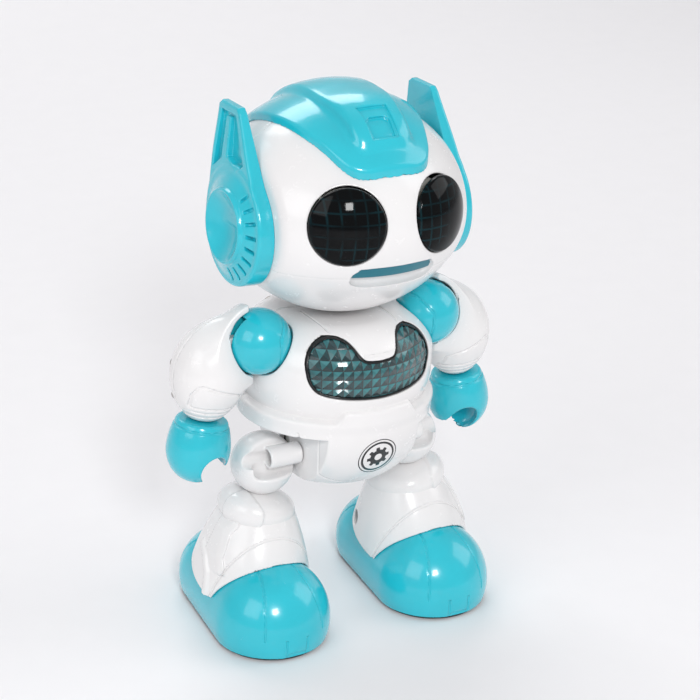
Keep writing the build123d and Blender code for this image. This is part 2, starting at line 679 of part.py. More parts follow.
def sole():
    """Right sole plate with roller slots and the bearing blocks of the roller axle."""
    outline = foot_solid(SOLE_INSET).faces().sort_by(Axis.Z)[0]
    plate = Pos(0, 0, -SOLE_THICKNESS) * extrude(outline, SOLE_THICKNESS, dir=(0, 0, 1))
    first, last = ROLLER_PLACES
    for x in ROLLER_PLACES:
        plate -= block((x - 2.4, x + 2.4), (ROLLER_Y - 5.5, ROLLER_Y + 5.5), (-1, 5))
    for x in (first + 4.0, last - 4.0):
        plate += block((x - 1.2, x + 1.2), (ROLLER_Y - 3.5, ROLLER_Y + 3.5), (SOLE_THICKNESS - 1, 7.0))
    plate -= rod("X", ROLLER_AXLE_RADIUS + RUNNING_FIT, -80, 80, (ROLLER_Y, ROLLER_Z))
    return plate - leg_screws()


def rollers():
    """Axle with two rollers under the right foot."""
    first, last = ROLLER_PLACES
    group = rod("X", ROLLER_AXLE_RADIUS, first, last - first, (ROLLER_Y, ROLLER_Z))
    for x in ROLLER_PLACES:
        group += rod("X", ROLLER_RADIUS, x - 1.6, 3.2, (ROLLER_Y, ROLLER_Z))
    return group


def leg_screws():
    """Boot screw and two sole screws of the right foot."""
    y, z = BOOT_SCREW
    screws = [screw((-1, 0, 0), (FOOT_X + 17.6, y, z), 7)]
    for y in SOLE_SCREW_PLACES:
        screws.append(screw((0, 0, 1), (FOOT_X, y, 0.6), 9))
    return Compound(screws)


# ---- hip pins and drive -------------------------------------------------------------------------
def hip_pin():
    """Right hip pin, pressed through the pelvis wall."""
    start = BOSS_OUTER_X + 3.4
    pin = rod("X", HIP_PIN_RADIUS, start, -PELVIS_HALF_WIDTH + 4.0 - start, (HIP_Y, HIP_Z))
    return pin - hip_screw()


def hip_screw():
    """Screw that keeps the right thigh on its pin."""
    return screw((1, 0, 0), (BOSS_OUTER_X + 1.4, HIP_Y, HIP_Z), 8)


def motor():
    """Small direct-current motor across the pelvis."""
    can = rod("X", MOTOR_RADIUS, -12.0, 19.0, (MOTOR_Y, MOTOR_Z))
    low, high = MOTOR_Z - MOTOR_HALF_HEIGHT, MOTOR_Z + MOTOR_HALF_HEIGHT
    can &= block((-20, 20), (MOTOR_Y - 9, MOTOR_Y + 9), (low, high))
    can += rod("X", 3.0, 7.0, 1.5, (MOTOR_Y, MOTOR_Z))
    return can - rod("X", 1.0, 4.0, 10.0, (MOTOR_Y, MOTOR_Z))


def toothed_wheel(teeth, centre, phase, start, width):
    """Spur wheel about X with straight-flanked teeth and backlash for free running."""
    pitch_radius = teeth * TOOTH_PITCH_RADIUS
    root = pitch_radius - TOOTH_DEPTH
    tip = pitch_radius + TOOTH_DEPTH * 0.7
    root_half = pi * TOOTH_PITCH_RADIUS * 0.42
    tip_half = root_half * 0.35
    wheel = Circle(root)
    tooth = make_face(Polyline(
        (root - 0.4, -root_half), (tip, -tip_half), (tip, tip_half), (root - 0.4, root_half), close=True
    ))
    for number in range(teeth):
        wheel += Rot(0, 0, phase + 360 * number / teeth) * tooth
    plane = Plane((start, centre[0], centre[1]), x_dir=(0, 1, 0), z_dir=(1, 0, 0))
    return extrude(plane * wheel, width)


def motor_pinion():
    """Pinion and motor shaft."""
    wheel = toothed_wheel(PINION_TEETH, (MOTOR_Y, MOTOR_Z), 0, 10.5, 4.0)
    return wheel + rod("X", 1.0 - RUNNING_FIT, 4.3, 6.4, (MOTOR_Y, MOTOR_Z))


def crank_gear():
    """Gear on the crank shaft, with an opposed eccentric pin at each end."""
    centre = (CRANK_Y, CRANK_Z)
    shaft_end = PELVIS_HALF_WIDTH - WALL - BODY_GAP
    body = toothed_wheel(CRANK_TEETH, centre, 180 / CRANK_TEETH, 10.8, 3.4)
    body += rod("X", CRANK_SHAFT_RADIUS, -shaft_end, 2 * shaft_end, centre)
    for side in (-1, 1):
        pin = rod("X", CRANK_PIN_RADIUS, shaft_end - 1.0, WALL + BODY_GAP + 4.0,
                  (CRANK_Y, CRANK_Z + side * CRANK_OFFSET))
        disc = rod("X", CRANK_OFFSET + CRANK_PIN_RADIUS + 0.4, shaft_end - 1.2, 1.2, centre)
        body += (pin + disc) if side > 0 else left_of(pin + disc)
    return body


def gearbox_frame():
    """Two side plates that carry the crank shaft, joined by a floor."""
    low, high = 59.6, 74.5
    frame = block((-14.5, -12.5), (CRANK_Y - 5, CRANK_Y + 5), (low, high))
    frame += block((8.4, 10.2), (CRANK_Y - 5, CRANK_Y + 2.6), (low, high))
    frame += block((-14.5, 10.2), (CRANK_Y - 5, CRANK_Y + 2.6), (low, low + 1.4))
    return frame - rod("X", CRANK_SHAFT_RADIUS + RUNNING_FIT, -30, 60, (CRANK_Y, CRANK_Z))


def power_switch():
    """Slider of the power switch, standing a little proud of the back."""
    return block((-3.6, -0.4), (23.3, 30.6), (66.4, 69.1))


def paired_pieces():
    """Right-hand pieces that are mirrored for the left side."""
    arm_front, arm_rear = arm_shells()
    return {
        "ear": ear(),
        "shoulder": shoulder(),
        "shoulder_clip": shoulder_clip(),
        "arm_pin": arm_pin(),
        "arm_front": arm_front,
        "arm_rear": arm_rear,
        "arm_screws": arm_screws(),
        "hand": hand(),
        "thigh": thigh(),
        "shin": shin(),
        "boot": boot(),
        "shoe": shoe(),
        "sole": sole(),
        "rollers": rollers(),
        "leg_screws": leg_screws(),
    }


def single_pieces():
    """Pieces of the head and the torso."""
    head_front, head_rear = head_shells()
    torso_front, torso_rear = torso_shells()
    return {
        "head_front_shell": head_front,
        "head_rear_shell": head_rear,
        "crest_cap": crest_cap(),
        "eye_lens_right": eye_lens(-1),
        "eye_lens_left": eye_lens(1),
        "eye_reflectors": eye_reflectors(),
        "mouth_insert": mouth_insert(),
        "eye_led_board": eye_led_board(),
        "head_screws": head_screws(),
        "neck_post": neck_post(),
        "torso_front_shell": torso_front,
        "torso_rear_shell": torso_rear,
        "chest_lens": chest_lens(),
        "chest_reflector": chest_reflector(),
        "chest_leds": chest_leds(),
        "circuit_board": circuit_board(),
        "speaker": speaker(),
        "battery_box": battery_box(),
        "battery_door": battery_door(),
        "battery_cells": battery_cells(),
        "battery_contacts": battery_contacts(),
        "torso_screws": torso_screws(),
        "hip_pins": Compound([hip_pin(), left_of(hip_pin())]),
        "hip_screws": Compound([hip_screw(), left_of(hip_screw())]),
        "motor": motor(),
        "motor_pinion": motor_pinion(),
        "crank_gear": crank_gear(),
        "gearbox_frame": gearbox_frame(),
        "power_switch_body": power_switch_body(),
        "power_switch": power_switch(),
    }


def main():
    """Build every piece and write one file for each."""
    pieces = single_pieces()
    for name, piece in paired_pieces().items():
        pieces[f"{name}_right"] = piece
        pieces[f"{name}_left"] = left_of(piece)
    for name, piece in pieces.items():
        export_step(Pos(0, ORIGIN_SHIFT_Y, 0) * piece, f"parts/{name}.step")


main()
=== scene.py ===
"""Looks of the battery walking toy robot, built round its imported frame."""

import json
import math

import bpy
import numpy as np
from mathutils import Matrix, Vector


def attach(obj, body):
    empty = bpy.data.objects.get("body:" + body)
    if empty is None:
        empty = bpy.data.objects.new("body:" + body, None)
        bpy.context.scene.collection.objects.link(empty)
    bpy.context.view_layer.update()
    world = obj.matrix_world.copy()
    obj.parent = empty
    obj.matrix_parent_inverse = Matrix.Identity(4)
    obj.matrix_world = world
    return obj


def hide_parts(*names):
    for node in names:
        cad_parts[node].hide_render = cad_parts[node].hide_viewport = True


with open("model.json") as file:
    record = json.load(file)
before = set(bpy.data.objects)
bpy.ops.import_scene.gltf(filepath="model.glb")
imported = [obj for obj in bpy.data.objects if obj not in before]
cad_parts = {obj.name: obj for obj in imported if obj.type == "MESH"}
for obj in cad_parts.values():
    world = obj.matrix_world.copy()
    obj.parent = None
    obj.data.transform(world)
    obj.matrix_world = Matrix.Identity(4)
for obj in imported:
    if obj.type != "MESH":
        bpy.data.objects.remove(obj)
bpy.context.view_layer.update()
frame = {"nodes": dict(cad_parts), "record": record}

# ---- sizes, in millimetres ----------------------------------------------------------------
CELL = 0.5
WALL = 2.0
BODY_GAP = 0.5
POST_RADIUS, SCREW_BORE = 3.6, 2.8
HEAD = (0.0, 0.0, 161.3)
HEAD_FORM = (47.5, 39.5, 30.0)
NECK_PLACE = (0, 2)
CREST_FOOT_Z = 178
EAR_SEAT_X = 37.5
EYE_SPREAD, EYE_RISE = 24.5, 6.5
EYE_RADIUS = 13.7
EYE_CROWN, EYE_DOME = 49.6, 27.0
EAR_PLACE = (-37.5, -1.5, 158.0)
EAR_TILT = 3.0
TORSO_Y = -0.5
BALL = (-35.5, -7.5, 115.0)
BALL_RADIUS = 12.3
BALL_CLEARANCE = 12.8
SHOULDER_AXLE = (-7.5, 115)
ARM_OFFSET = (-16.5, 7.0, -12.0)
ARM_TILT = 8.0
HIP_Y, HIP_Z = -10.0, 68.5
PELVIS_HALF_WIDTH, HIP_CUT_TOP = 19.0, 82.0
FOOT_X = -35.0
TOE_Y, TOE_RADIUS = -20.0, 22.5
HEEL_RADIUS, FOOT_SPAN = 19.0, 38.0
BOOT_FLOOR, BOOT_TOP, BOOT_TOP_RADIUS = 4.0, 46.0, 13.5
BOOT_ARCH_Y, BOOT_ARCH_RADIUS = 42.0, 34.5
FACET = 3.4
BADGE_Z = 73.5


# ---- distance functions: points are rows of millimetres, negative is inside ------------------
def smin(a, b, k):
    """Union with a fillet of size k."""
    h = np.clip(0.5 + 0.5 * (b - a) / k, 0.0, 1.0)
    return b + (a - b) * h - k * h * (1.0 - h)


def smax(a, b, k):
    """Intersection with a rounded edge of size k."""
    return -smin(-a, -b, k)


def cut(a, b, k=0.4):
    """a without b."""
    return smax(a, -b, k)


def step(x, low, high):
    """Smooth ramp from 0 at low to 1 at high."""
    t = np.clip((x - low) / (high - low), 0.0, 1.0)
    return t * t * (3.0 - 2.0 * t)


def length(*parts):
    return np.sqrt(sum(part * part for part in parts))


def turn(p, degrees, axis):
    """Point coordinates in a frame turned by this angle about X, Y or Z."""
    rows = np.array(Matrix.Rotation(math.radians(degrees), 3, axis))
    return p @ rows


def sphere(p, centre, radius):
    return length(*(p - centre).T) - radius


def rod(p, axis, centre, radius, low, high, k=0.4):
    """Cylinder along an axis; centre holds the other two coordinates in order."""
    others = [i for i in range(3) if i != axis]
    around = length(p[:, others[0]] - centre[0], p[:, others[1]] - centre[1]) - radius
    return smax(around, np.maximum(p[:, axis] - high, low - p[:, axis]), k)


def slab(p, low, high, k=0.4):
    """Box between two corners with rounded edges."""
    d = None
    for i in range(3):
        side = np.maximum(p[:, i] - high[i], low[i] - p[:, i])
        d = side if d is None else smax(d, side, k)
    return d


def polygon(x, y, corners):
    """Signed distance to a flat polygon."""
    best = np.full(x.shape, 1e9)
    sign = np.ones(x.shape)
    for (ax, ay), (bx, by) in zip(corners, corners[1:] + corners[:1]):
        ex, ey = bx - ax, by - ay
        wx, wy = x - ax, y - ay
        t = np.clip((wx * ex + wy * ey) / (ex * ex + ey * ey), 0.0, 1.0)
        best = np.minimum(best, (wx - ex * t) ** 2 + (wy - ey * t) ** 2)
        a, b, c = y >= ay, y < by, ex * wy > ey * wx
        sign = np.where((a & b & c) | (~a & ~b & ~c), -sign, sign)
    return sign * np.sqrt(best)


def rounded(corners):
    """The same closed outline with its corners cut twice."""
    for _ in range(2):
        following = corners[1:] + corners[:1]
        corners = [(a[0] * (1 - t) + b[0] * t, a[1] * (1 - t) + b[1] * t)
                   for a, b in zip(corners, following) for t in (0.25, 0.75)]
    return corners


def path(x, y, corners):
    """Distance to an open line through the corners."""
    best = np.full(x.shape, 1e9)
    for (ax, ay), (bx, by) in zip(corners, corners[1:]):
        ex, ey = bx - ax, by - ay
        t = np.clip(((x - ax) * ex + (y - ay) * ey) / (ex * ex + ey * ey), 0.0, 1.0)
        best = np.minimum(best, length(x - ax - ex * t, y - ay - ey * t))
    return best


def oval(p, half_width, half_height, side_radius):
    """Revolved form: a side arc that runs smoothly into an arc at each end."""
    offset = half_width - side_radius
    rise = half_height - side_radius
    drop = (offset**2 - rise**2) / (2 * rise)
    r, z = length(p[:, 0], p[:, 1]), np.abs(p[:, 2])
    on_side = z * abs(offset) < (r - offset) * abs(drop)
    side = length(r - offset, z) - side_radius
    end = length(r, z + drop) - (half_height + drop)
    return np.where(on_side, side, end)


def groove(d, base, c, size):
    """Round-bottomed line cut where the surface base meets the surface c."""
    return smax(d, size - length(base, c), 0.25)


def raised(c, height, edge):
    """Amount to take off a distance so that the region c < 0 stands proud."""
    return height * step(-c, -edge, edge)


# ---- meshing ----------------------------------------------------------------------------------
CORNERS = np.array([(i, j, k) for i in (0, 1) for j in (0, 1) for k in (0, 1)])
EDGES = [(a, b) for a in range(8) for b in range(a + 1, 8)
         if np.abs(CORNERS[a] - CORNERS[b]).sum() == 1]


def sample(shape, low, high, cell):
    """Distances on a grid, worked out only in blocks near the surface."""
    block = 8
    counts = np.ceil((np.array(high) - low) / cell / block).astype(int) + 1
    axes = [low[i] + (np.arange(counts[i]) * block + 3.5) * cell for i in range(3)]
    middle = np.stack(np.meshgrid(*axes, indexing="ij"), -1).reshape(-1, 3)
    rough = shape(middle)
    values = np.repeat(np.where(rough < 0, -9.0, 9.0), block**3).astype(np.float32)
    values = values.reshape(*counts, block, block, block)
    near = np.nonzero(np.abs(rough) < block * cell * 1.25 + 1.2)[0]
    inner = np.stack(np.meshgrid(*[np.arange(block)] * 3, indexing="ij"), -1).reshape(-1, 3)
    places = np.stack(np.unravel_index(near, counts), -1)
    for start in range(0, len(near), 600):
        part = places[start:start + 600]
        points = low + (part[:, None, :] * block + inner[None]) * cell
        found = shape(points.reshape(-1, 3)).reshape(-1, block, block, block)
        values[part[:, 0], part[:, 1], part[:, 2]] = found
    values = values.transpose(0, 3, 1, 4, 2, 5)
    return values.reshape(*(counts * block))


def gradient(shape, points, reach=0.08):
    """Direction in which the distance grows."""
    out = np.empty_like(points)
    for axis in range(3):
        shift = np.zeros(3)
        shift[axis] = reach
        out[:, axis] = shape(points + shift) - shape(points - shift)
    return out / (2 * reach)


def surface(shape, low, high, cell):
    """Vertices and quads of the zero surface, with the vertices drawn onto it."""
    low = np.array(low, float) - 1.5 * cell
    values = sample(shape, low, np.array(high, float) + 1.5 * cell, cell)
    inside = values < 0
    shape_of = np.array(values.shape)
    corner_sets = [inside[tuple(slice(c, n - 1 + c) for c, n in zip(corner, shape_of))]
                   for corner in CORNERS]
    some = np.zeros(shape_of - 1, bool)
    every = np.ones(shape_of - 1, bool)
    for corner in corner_sets:
        some |= corner
        every &= corner
    cells = np.argwhere(some & ~every)
    number = np.full(shape_of - 1, -1, np.int64)
    number[tuple(cells.T)] = np.arange(len(cells))
    around = [values[tuple((cells + corner).T)] for corner in CORNERS]
    total = np.zeros((len(cells), 3))
    count = np.zeros(len(cells))
    for a, b in EDGES:
        crossing = (around[a] < 0) != (around[b] < 0)
        gap = np.where(crossing, around[a] - around[b], 1.0)
        t = np.where(crossing, around[a] / gap, 0.0)[:, None]
        total += np.where(crossing[:, None], CORNERS[a] + t * (CORNERS[b] - CORNERS[a]), 0.0)
        count += crossing
    points = low + (cells + total / count[:, None]) * cell
    for _ in range(2):
        slope = gradient(shape, points)
        size = np.maximum((slope**2).sum(1), 0.3)
        move = -(shape(points) / size)[:, None] * slope
        limit = 0.4 * cell / np.maximum(length(*move.T), 0.4 * cell)
        points = points + move * limit[:, None]
    quads = []
    for axis in range(3):
        a, b = (axis + 1) % 3, (axis + 2) % 3
        first = np.take(inside, np.arange(shape_of[axis] - 1), axis)
        second = np.take(inside, np.arange(1, shape_of[axis]), axis)
        for here, there, flip in ((first, second, False), (second, first, True)):
            at = np.argwhere(here & ~there)
            at = at[(at[:, a] > 0) & (at[:, b] > 0)]
            at = at[(at[:, a] < shape_of[a] - 1) & (at[:, b] < shape_of[b] - 1)]
            ring = []
            for da, db in ((1, 1), (0, 1), (0, 0), (1, 0)):
                shifted = at.copy()
                shifted[:, a] -= da
                shifted[:, b] -= db
                ring.append(number[tuple(shifted.T)])
            quads.append(np.stack(ring[::-1] if flip else ring, -1))
    return points, np.concatenate(quads)


def mesh_from(name, points, faces, normals=None):
    mesh = bpy.data.meshes.new(name)
    mesh.vertices.add(len(points))
    mesh.vertices.foreach_set("co", (points * 0.001).astype(np.float32).ravel())
    mesh.loops.add(faces.size)
    mesh.loops.foreach_set("vertex_index", faces.astype(np.int32).ravel())
    mesh.polygons.add(len(faces))
    mesh.polygons.foreach_set("loop_start", np.arange(0, faces.size, faces.shape[1], dtype=np.int32))
    mesh.update(calc_edges=True)
    mesh.validate()
    mesh.polygons.foreach_set("use_smooth", np.ones(len(mesh.polygons), bool))
    if normals is not None:
        mesh.normals_split_custom_set_from_vertices(normals.astype(np.float32))
    return mesh


def sculpt(name, shape, low, high, cell=None, keep=0.35):
    """Points, triangles and normals of a shape, thinned where it is smooth."""
    points, quads = surface(shape, low, high, cell or CELL)
    obj = bpy.data.objects.new(name, mesh_from(name, points, quads))
    bpy.context.scene.collection.objects.link(obj)
    thin = obj.modifiers.new("thin", "DECIMATE")
    thin.ratio = keep
    done = bpy.data.meshes.new_from_object(obj.evaluated_get(bpy.context.evaluated_depsgraph_get()))
    done.calc_loop_triangles()
    points = np.zeros(len(done.vertices) * 3, np.float32)
    done.vertices.foreach_get("co", points)
    points = points.reshape(-1, 3).astype(float) * 1000
    faces = np.zeros(len(done.loop_triangles) * 3, np.int32)
    done.loop_triangles.foreach_get("vertices", faces)
    bpy.data.objects.remove(obj)
    normals = gradient(shape, points, 0.12)
    normals /= np.maximum(length(*normals.T), 1e-6)[:, None]
    return points, faces.reshape(-1, 3), normals


def piece(name, sculpted, body, material, replaced, mirrored=False):
    """One visible object that stands for some CAD nodes and rides on their body."""
    points, faces, normals = sculpted
    if mirrored:
        flip = np.array([-1.0, 1.0, 1.0])
        points, normals, faces = points * flip, normals * flip, faces[:, ::-1]
    name = name.replace(" ", "_")
    obj = bpy.data.objects.new(name, mesh_from(name, points, faces, normals))
    bpy.context.scene.collection.objects.link(obj)
    obj.data.materials.append(material)
    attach(obj, body)
    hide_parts(*replaced)


# ---- head -------------------------------------------------------------------------------------
def eye_place(q, side):
    """Distance along an eye's axis and distance from it."""
    spread, rise = math.radians(EYE_SPREAD), math.radians(EYE_RISE)
    axis = np.array([side * math.sin(spread) * math.cos(rise),
                     -math.cos(spread) * math.cos(rise), math.sin(rise)])
    along = q @ axis
    return along, np.sqrt(np.maximum((q * q).sum(1) - along**2, 0.0))


def head(p):
    q = p - HEAD
    x, y, z = p.T
    skin = smax(oval(q, *HEAD_FORM), np.abs(x) - EAR_SEAT_X, 2.0)
    swell = np.exp(-((x / 17) ** 2) - ((z - 147) / 7) ** 2) * step(-y, 10, 30)
    d = smax(skin, -(skin + WALL + 3.2 * swell), 0.3)
    for side in (-1, 1):
        along, away = eye_place(q, side)
        d = cut(d, np.maximum(away - EYE_RADIUS - 0.15, 20 - along), 0.7)
    lip = 4.3 * np.sqrt(np.maximum(1 - (x / 16.6) ** 6, 0.0))
    d = smax(d, np.where(y < 0, lip - length(skin * 1.2, z - 146.9), -9.0), 0.4)
    mouth = smax(np.abs(x) - 14.6, np.abs(z - 149.7) - 1.25, 1.0)
    d = cut(d, np.maximum(mouth, y + 20), 0.3)
    d = groove(d, skin, y - 2.0, 0.4)
    d = cut(d, rod(p, 2, NECK_PLACE, 6.3, 100, 135))
    for x0, z0 in ((-33, 146), (33, 146), (-33, 176), (33, 176)):
        d = smin(d, smax(rod(p, 1, (x0, z0), POST_RADIUS, -10, 60), skin + 0.3, 0.3), 0.3)
        d = cut(d, rod(p, 1, (x0, z0), SCREW_BORE, 22.2, 70))
    return d


CREST_SIDE = [(6.0, -39.8), (13.0, -38.2), (17.3, -34.0), (20.2, -27.0), (24.6, -14), (27.4, 6),
              (26.0, 26), (18.0, 41.5), (8.0, 44.0)]
CREST = rounded([(-x, y) for x, y in CREST_SIDE[::-1]] + CREST_SIDE)


def crest(p):
    q = p - HEAD
    x, y, z = p.T
    skin = oval(q, *HEAD_FORM)
    outline = polygon(x, y, CREST)
    flange = smax(smax(skin - 2.5, outline, 0.9), CREST_FOOT_Z - z, 1.0)
    width = 13.8 - 2.0 * step(-y, 8, 30)
    height = 5.1 + 1.2 * step(-y, 4, 20) - 0.8 * step(y, 10, 36) - 1.8 * step(-y, 26, 37)
    plan = smax(smax(np.abs(x) - width, -34.5 - y, 6.0), y - 36.0, 9.0)
    ridge = smax(skin - height, plan + 0.25 * np.maximum(skin - 2.0, 0.0), 1.8)
    body = smin(flange, ridge, 1.6)
    t = turn(p - np.array([0, -27.5, 198.0]), 38, "X")
    front = polygon(t[:, 0], t[:, 1], [
        (-5.2, -7.0), (5.2, -7.0), (5.3, 1.5), (5.9, 7.2), (-5.9, 7.2), (-5.3, 1.5)])
    deep = polygon(t[:, 0], t[:, 1], [
        (-4.2, -6.1), (4.2, -6.1), (4.5, 1.2), (2.8, 2.4), (-2.8, 2.4), (-4.5, 1.2)])
    d = smax(body, -smax(front, -(body + 1.1), 0.3), 0.5)
    d = smax(d, -smax(deep, -(body + 2.3), 0.3), 0.4)
    return smax(d, -skin, 0.2)


def ear(p):
    tilt = math.radians(EAR_TILT)
    w_axis = np.array([-math.cos(tilt), 0, math.sin(tilt)])
    u_axis = np.array([0.0, -1.0, 0.0])
    v_axis = np.cross(w_axis, u_axis)
    q = p - np.array(EAR_PLACE)
    u, v, w = q @ u_axis, q @ v_axis, q @ w_axis
    r = length(u, v)
    disc = smax(r - 22.0, np.maximum(w - 6.4, -3 - w), 1.6)
    cone = smax((r - 13.0) * 0.42 + (w - 9.3) * 0.9, r - 20.0, 0.8)
    cone = smax(cone, -w - 2, 0.2)
    d = smin(disc, cone, 0.5)
    d = smin(d, length(r - 12.7, w - 9.1) - 1.2, 0.5)
    d = smax(d, 18.6 - length(r, w - 23.9), 0.5)
    spoke = np.full(r.shape, 9.0)
    for number in range(9):
        angle = math.radians(50 - 16 * number)
        along = u * math.cos(angle) + v * math.sin(angle)
        across = -u * math.sin(angle) + v * math.cos(angle)
        spoke = np.minimum(spoke, smax(np.abs(across) - 0.65, np.abs(along - 17.3) - 2.3, 0.3))
    d = cut(d, smax(spoke, 5.6 - w, 0.2), 0.3)
    fin = polygon(u, v, [(-20.6, 0), (-20.8, 8), (-17.6, 40.5), (-15.5, 42.0), (-2.5, 42.0),
                         (-0.6, 40.4), (15.0, 15.5), (15, 0)])
    top = 6.2 - 1.0 * step(v, 20, 42)
    plate = smax(fin, np.maximum(w - top, -1.5 - w), 1.3)
    inner = polygon(u, v, [(-17.6, 17.5), (-15.0, 38.8), (-3.6, 38.8), (5.6, 23.4), (1.6, 19.6),
                           (-6, 23.4), (-12, 21.6)])
    spine = smax(np.abs(u + 9.6 - 0.02 * v) - 1.7 - 0.03 * (38 - v), np.abs(v - 25) - 12.5, 0.8)
    channel = smax(smax(inner, -spine, 0.7), 3.6 - w, 0.3)
    plate = cut(plate, channel, 0.7)
    d = smin(d, plate, 0.8)
    return smax(d, p[:, 0] + EAR_SEAT_X, 0.3)


def eye(p):
    q = p - HEAD
    along, away = eye_place(q, -1)
    dome = length(away, along - (EYE_CROWN - EYE_DOME))
    d = smax(dome - EYE_DOME, EYE_DOME - 1.8 - dome, 0.3)
    return smax(smax(d, away - EYE_RADIUS + 0.1, 0.8), 30 - along, 0.3)


# ---- torso ------------------------------------------------------------------------------------
WINDOW_HALF = [(6.8, 112.7), (9.1, 117.4), (12.0, 119.0), (16.5, 119.2), (21.5, 117), (24.5, 113.5),
               (25.8, 109.4), (25.2, 104.5), (23.2, 100.6), (20.0, 98.8), (10, 97.4), (-6, 97.0),
               (-6, 111.6), (4.5, 111.6)]
WINDOW = rounded(WINDOW_HALF)


def chest_form(p):
    """Torso without its openings: an egg-shaped chest set into a bowl with a belt edge."""
    x, y, z = p[:, 0], p[:, 1] - TORSO_Y, p[:, 2]
    r = length(x, y)
    side = r - 36.6 + 0.020 * np.maximum(100 - z, 0.0) ** 2
    ru, zu = np.maximum(r - 20.0, 0), np.maximum(z - 103.8, 0)
    chest = np.maximum(length(ru, zu) - 16.9, side)
    chest = smax(chest, 80 - z, 1.0)
    plate_top = 88.6 + 4.4 * step(-np.abs(x), -17.0, -12.5) * step(-y, 0, 10)
    bowl = length(np.maximum(r - 7.26, 0.0), z - 83.6) - 29.93
    bowl = np.where(z > 83.6, r - 37.19 - 0.5 * step(z, 83.6, 88), bowl)
    bowl = smax(bowl, (z - plate_top) * 0.92 + (r - 37.2) * 0.3, 1.1)
    d = smin(chest, bowl, 0.5)
    return smax(d, 57.0 - z, 2.5)


def torso(p):
    x, y, z = p.T
    form = chest_form(p)
    side = np.abs(x)
    q = np.stack([-side, y, z], -1)
    ball = sphere(q, BALL, BALL_RADIUS + BODY_GAP)
    hip = smax(smax(PELVIS_HALF_WIDTH - side, z - HIP_CUT_TOP, 0.6), -z, 0.1)
    solid = smax(smax(form, -ball, 0.6), -hip, 0.6)
    window = smax(polygon(side, z, WINDOW), y + 5, 0.1)
    near = smax(form + WALL, -ball + WALL, 0.3)
    near = smax(near, -hip + WALL, 0.3)
    d = smax(solid, -near, 0.3)
    d = cut(d, window, 0.5)
    front = np.where(y < 0, 0.0, 20.0)
    bib = polygon(side, z, [(-5, 125), (14.4, 125), (14.0, 114.6), (12.4, 113.4), (-5, 113.4)])
    d = groove(d, solid, np.abs(bib) + front + np.where(window < 0.6, 9, 0), 0.42)
    d = groove(d, solid, path(x, z, [(21.5, 94.4), (24.5, 92.6)]) + front, 0.5)
    d = groove(d, solid, y - 5.0 + np.where(z > 84, 0.0, 30.0), 0.4)
    door = smax(np.abs(x) - 23.7, np.abs(z - 95.8) - 10.9, 0.6)
    d = cut(d, np.maximum(door, 7 - y), 0.2)
    switch = smax(side - 4.2, np.abs(z - 67.75) - 2.35, 0.5)
    d = cut(d, np.maximum(switch, 22 - y), 0.2)
    d = cut(d, rod(q, 0, SHOULDER_AXLE, 2.1, -60, 0), 0.2)
    d = cut(d, rod(p, 0, (HIP_Y, HIP_Z), 2.2, -60, 60), 0.2)
    d = cut(d, rod(p, 0, (2.0, 67.5), 4.2, -60, 60), 0.2)
    d = cut(d, rod(p, 2, NECK_PLACE, 6.05, 100, 135), 0.2)
    for x0, z0, depth in ((16, 116.4, 22.5), (32.6, 88.5, 13.5)):
        post = smax(rod(np.stack([side, y, z], -1), 1, (x0, z0), POST_RADIUS, 5, 60), solid + 0.3, 0.3)
        d = smin(d, post, 0.3)
        d = cut(d, rod(np.stack([side, y, z], -1), 1, (x0, z0), SCREW_BORE, depth - 0.6, 70), 0.3)
    return d


def window_lens(p):
    skin = chest_form(p)
    form = polygon(np.abs(p[:, 0]), p[:, 2], WINDOW) + 0.95
    d = smax(smax(skin + 0.7, -(skin + 2.4), 0.3), form, 0.3)
    return smax(d, p[:, 1] + 5, 0.3)


def window_border(p):
    skin = chest_form(p)
    form = polygon(np.abs(p[:, 0]), p[:, 2], WINDOW)
    d = smax(smax(skin + 0.25, -(skin + 2.4), 0.3), form + 0.15, 0.5)
    return smax(smax(d, -(form + 1.0), 0.4), p[:, 1] + 5, 0.3)


# ---- arms and hands ---------------------------------------------------------------------------
def in_arm(p):
    """Coordinates about the middle of the right arm, along its own axes."""
    return turn(p - np.array(BALL) - np.array(ARM_OFFSET), ARM_TILT, "Y")


def ball(p):
    q = p - np.array(BALL)
    d = smax(length(*q.T) - BALL_RADIUS, q[:, 0] - 11.0, 0.8)
    skin = d
    patch = polygon(q[:, 0], q[:, 2], [(4.0, -9.0), (3.4, 3.6), (7.4, 8.8), (14, 8.8), (14, -9.0)])
    d = groove(d, skin, np.abs(patch) + np.where(q[:, 1] < 0, 0.0, 9.0), 0.42)
    d = cut(d, slab(q, (-30, -2.3, -3.9), (3.9, 2.3, 10.2), 0.2), 0.3)
    d = cut(d, rod(q, 1, (0, 0), 1.5, -8, 8), 0.2)
    return smin(d, rod(p, 0, SHOULDER_AXLE, 2.0, BALL[0] + 8, -18.4), 0.3)


